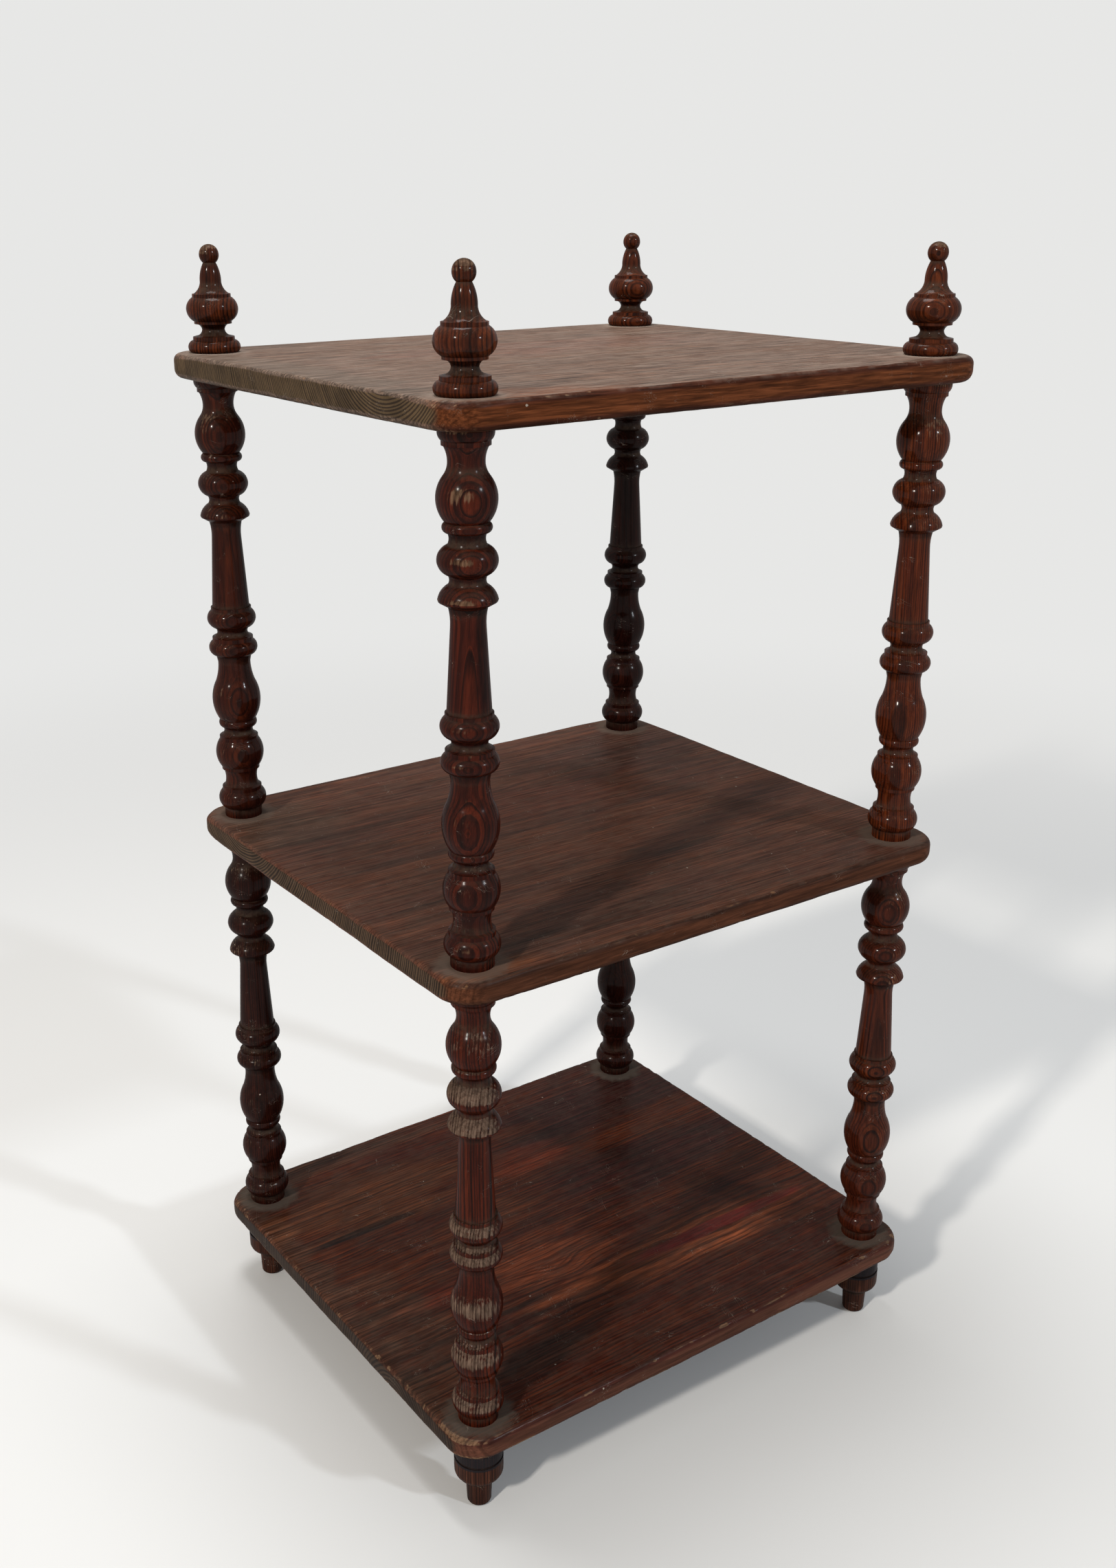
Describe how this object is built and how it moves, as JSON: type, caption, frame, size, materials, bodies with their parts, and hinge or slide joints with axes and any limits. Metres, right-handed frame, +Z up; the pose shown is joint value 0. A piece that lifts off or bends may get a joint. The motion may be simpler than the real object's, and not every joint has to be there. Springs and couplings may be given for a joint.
{
  "type": "three-tier shelf",
  "caption": "Free-standing open shelf of turned pine: boards with rounded corners stand on vase-turned posts, with spired finials above and round peg feet below.",
  "frame": {"origin": "on the floor, at the middle of the footprint", "axes": "+Z up, +X along the long edge of the boards and their grain, +Y across them; the shelf has no front of its own, and -Y is called the front here"},
  "size_m": [0.46, 0.402, 0.9013],
  "materials": {
    "pine_boards": "worn satin varnish over stained pine",
    "pine_turnings": "gloss varnish over stained pine"
  },
  "bodies": {
    "root": {"shelf_bottom": "pine_boards", "shelf_middle": "pine_boards", "shelf_top": "pine_boards", "foot_front_left": "pine_turnings", "foot_front_right": "pine_turnings", "foot_back_left": "pine_turnings", "foot_back_right": "pine_turnings", "lower_post_front_left": "pine_turnings", "lower_post_front_right": "pine_turnings", "lower_post_back_left": "pine_turnings", "lower_post_back_right": "pine_turnings", "upper_post_front_left": "pine_turnings", "upper_post_front_right": "pine_turnings", "upper_post_back_left": "pine_turnings", "upper_post_back_right": "pine_turnings", "finial_front_left": "pine_turnings", "finial_front_right": "pine_turnings", "finial_back_left": "pine_turnings", "finial_back_right": "pine_turnings"}
  },
  "joints": []
}
